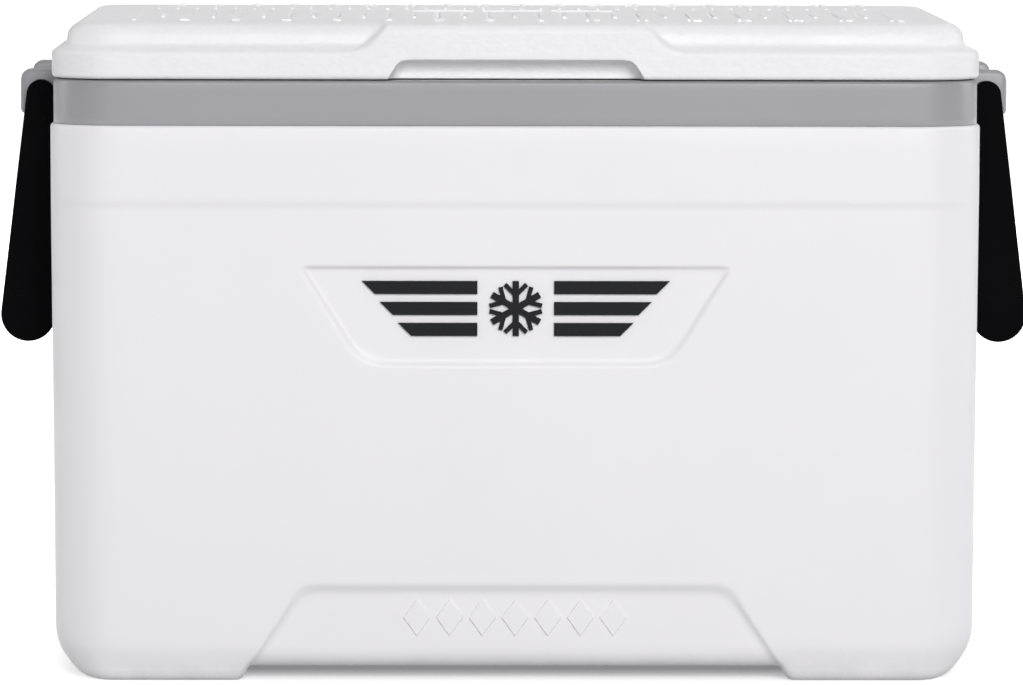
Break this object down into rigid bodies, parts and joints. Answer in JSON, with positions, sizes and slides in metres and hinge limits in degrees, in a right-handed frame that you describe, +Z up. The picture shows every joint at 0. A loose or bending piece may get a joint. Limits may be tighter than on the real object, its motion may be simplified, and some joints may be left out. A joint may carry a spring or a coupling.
{
  "type": "picnic cooler",
  "caption": "Hard-sided insulated picnic cooler with a hinged plug lid, grey trim band, front badge recess and a black swinging bail handle at each end.",
  "frame": {"origin": "on the floor, below the centre of the bounding box; the shell's own middle is 5.6 mm further forward, because the hinge barrels stand out at the rear", "axes": "+X along the longer side to the cooler's right end as seen from its front, +Y from the front to the hinged rear, +Z up"},
  "size_m": [0.5238, 0.3052, 0.3273],
  "materials": {
    "shell_white": "satin moulded polyethylene with a very fine texture",
    "lid_white": "moulded polyethylene with a pebble grain",
    "liner_white": "smooth food-safe plastic",
    "band_grey": "smooth satin grey",
    "hinge_grey": "smooth satin grey",
    "badge_black": "satin black",
    "handle_black": "fine matt texture",
    "grip_black": "soft matt sleeve",
    "pin_grey": "smooth nylon",
    "steel": "stainless",
    "foam": "rigid insulating foam, out of sight"
  },
  "bodies": {
    "cooler_body": {"outer_shell": "shell_white", "body_foam": "foam", "inner_liner": "liner_white", "trim_band": "band_grey", "front_badge": "badge_black", "hinge_body_screws": "steel", "hinge_body_leaf_left": "hinge_grey", "hinge_pin_left": "steel", "handle_pins_left": "pin_grey", "hinge_body_leaf_right": "hinge_grey", "hinge_pin_right": "steel", "handle_pins_right": "pin_grey"},
    "lid": {"lid_shell": "lid_white", "lid_foam": "foam", "lid_liner": "liner_white", "hinge_lid_screws": "steel", "hinge_lid_leaf_left": "hinge_grey", "hinge_lid_leaf_right": "hinge_grey"},
    "handle_left": {"handle_frame_left": "handle_black", "handle_grip_left": "grip_black"},
    "handle_right": {"handle_frame_right": "handle_black", "handle_grip_right": "grip_black"}
  },
  "joints": [
    {"name": "lid_hinge", "type": "hinge", "parent": "cooler_body", "child": "lid", "pos_m": [0, 0.1476, 0.2997], "axis": [-1, 0, 0], "range_deg": [0, 105]},
    {"name": "handle_left_swing", "type": "hinge", "parent": "cooler_body", "child": "handle_left", "pos_m": [-0.2407, -0.0056, 0.2878], "axis": [0, 1, 0], "range_deg": [0, 170]},
    {"name": "handle_right_swing", "type": "hinge", "parent": "cooler_body", "child": "handle_right", "pos_m": [0.2407, -0.0056, 0.2878], "axis": [0, -1, 0], "range_deg": [0, 170]}
  ]
}
